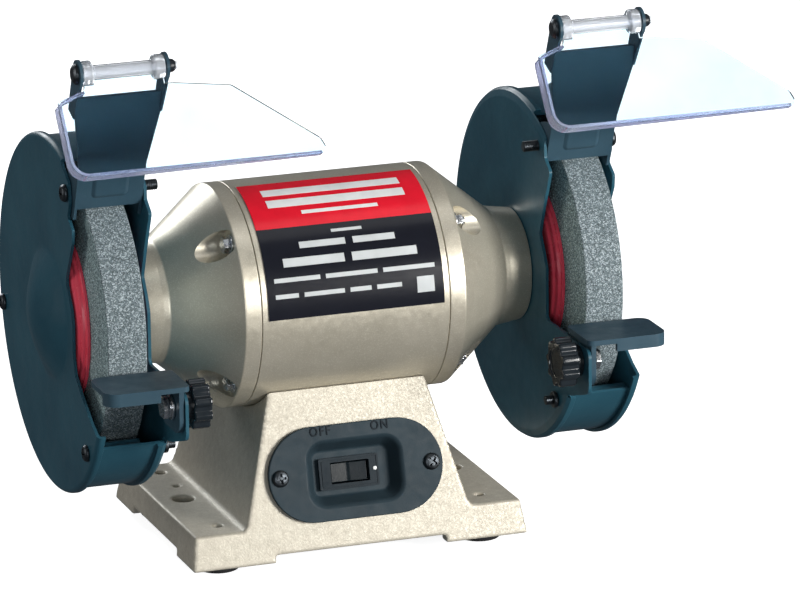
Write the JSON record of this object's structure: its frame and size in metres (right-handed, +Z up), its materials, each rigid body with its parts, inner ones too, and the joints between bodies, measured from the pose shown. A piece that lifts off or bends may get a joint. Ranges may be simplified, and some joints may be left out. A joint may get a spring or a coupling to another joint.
{
  "type": "bench grinder",
  "caption": "Bench grinder with guarded grinding wheels on a horizontal motor, a cast pedestal base, adjustable tool rests, clear eye shields and a rocker switch.",
  "frame": {"origin": "on the bench, under the centre of the whole grinder's bounding box; the shaft's middle is at x -0.03027, y 0.00885, z 0.1295", "axes": "+X along the shaft towards the right-hand wheel, -Y the operator's side, +Z up"},
  "size_m": [0.3756, 0.1984, 0.275],
  "materials": {
    "cast_paint": "champagne metallic paint over a rough casting",
    "motor_paint": "satin champagne metallic paint",
    "guard_paint": "satin dark blue powder coat",
    "black_steel": "satin black powder coat",
    "plate_plastic": "fine moulded grain",
    "black_plastic": "semi-gloss",
    "rubber": "moulded",
    "abrasive": "coarse aluminium oxide grain",
    "red_paint": "gloss",
    "zinc": "bright zinc plate",
    "bright_steel": "ground",
    "dark_steel": "black oxide",
    "lamination": "bare laminations",
    "copper": "enamelled copper wire",
    "clear_plastic": "clear with a pale blue tint",
    "label_ink": "printed film, red above and black below",
    "capacitor_case": "drawn can",
    "plated_sheet": "galvanised sheet"
  },
  "bodies": {
    "housing": {"base_casting": "cast_paint", "bottom_plate": "plated_sheet", "front_left_foot": "rubber", "front_right_foot": "rubber", "back_left_foot": "rubber", "back_right_foot": "rubber", "cord_gland": "rubber", "capacitor": "capacitor_case", "switch_plate": "plate_plastic", "switch_body": "black_plastic", "left_plate_screw": "dark_steel", "right_plate_screw": "dark_steel", "motor_shell": "motor_paint", "stator_core": "lamination", "left_winding": "copper", "right_winding": "copper", "left_bearing": "bright_steel", "right_bearing": "bright_steel", "left_end_bell": "motor_paint", "right_end_bell": "motor_paint", "tie_bolt_1": "dark_steel", "tie_bolt_2": "dark_steel", "tie_bolt_3": "dark_steel", "tie_bolt_4": "dark_steel", "rating_label": "label_ink", "left_guard": "guard_paint", "right_guard": "guard_paint", "left_guard_cover": "guard_paint", "right_guard_cover": "guard_paint", "left_cover_screw_1": "dark_steel", "left_cover_screw_2": "dark_steel", "right_cover_screw_1": "dark_steel", "right_cover_screw_2": "dark_steel", "left_arm_screw": "dark_steel", "right_arm_screw": "dark_steel", "left_rest_bolt": "zinc", "right_rest_bolt": "zinc"},
    "rotor": {"shaft": "bright_steel", "rotor_core": "lamination", "left_wheel": "abrasive", "right_wheel": "abrasive", "left_inner_flange": "red_paint", "left_outer_flange": "red_paint", "right_inner_flange": "red_paint", "right_outer_flange": "red_paint", "left_wheel_nut": "zinc", "right_wheel_nut": "zinc"},
    "rocker": {"switch_rocker": "black_plastic"},
    "left_arm": {"left_shield_arm": "black_steel", "left_hinge_screw": "zinc", "left_hinge_nut": "black_steel"},
    "left_shield": {"left_eye_shield": "clear_plastic"},
    "left_rest": {"left_tool_rest": "black_steel"},
    "left_knob": {"left_rest_knob": "black_plastic"},
    "right_arm": {"right_shield_arm": "black_steel", "right_hinge_screw": "zinc", "right_hinge_nut": "black_steel"},
    "right_shield": {"right_eye_shield": "clear_plastic"},
    "right_rest": {"right_tool_rest": "black_steel"},
    "right_knob": {"right_rest_knob": "black_plastic"}
  },
  "joints": [
    {"name": "rotor_spin", "type": "hinge", "parent": "housing", "child": "rotor", "pos_m": [-0.03027, 0.00885, 0.1295], "axis": [1, 0, 0], "continuous": true},
    {"name": "rocker_tilt", "type": "hinge", "parent": "housing", "child": "rocker", "pos_m": [-0.03157, -0.03281, 0.04293], "axis": [0, 0.2494, 0.9684], "range_deg": [0, 16]},
    {"name": "left_arm_slide", "type": "slide", "parent": "housing", "child": "left_arm", "axis": [0, -0.3616, 0.9323], "range_m": [0, 0.006]},
    {"name": "left_shield_tilt", "type": "hinge", "parent": "left_arm", "child": "left_shield", "pos_m": [-0.15327, -0.06215, 0.268], "axis": [-1, 0, 0], "range_deg": [-6, 80]},
    {"name": "left_rest_slide", "type": "slide", "parent": "housing", "child": "left_rest", "axis": [0, -1, 0], "range_m": [0, 0.012]},
    {"name": "left_knob_turn", "type": "hinge", "parent": "housing", "child": "left_knob", "pos_m": [-0.12707, -0.08415, 0.1035], "axis": [1, 0, 0], "range_deg": [0, 360]},
    {"name": "right_arm_slide", "type": "slide", "parent": "housing", "child": "right_arm", "axis": [0, -0.3616, 0.9323], "range_m": [0, 0.006]},
    {"name": "right_shield_tilt", "type": "hinge", "parent": "right_arm", "child": "right_shield", "pos_m": [0.09273, -0.06215, 0.268], "axis": [-1, 0, 0], "range_deg": [-6, 80]},
    {"name": "right_rest_slide", "type": "slide", "parent": "housing", "child": "right_rest", "axis": [0, -1, 0], "range_m": [0, 0.012]},
    {"name": "right_knob_turn", "type": "hinge", "parent": "housing", "child": "right_knob", "pos_m": [0.06653, -0.08415, 0.1035], "axis": [1, 0, 0], "range_deg": [0, 360]}
  ]
}
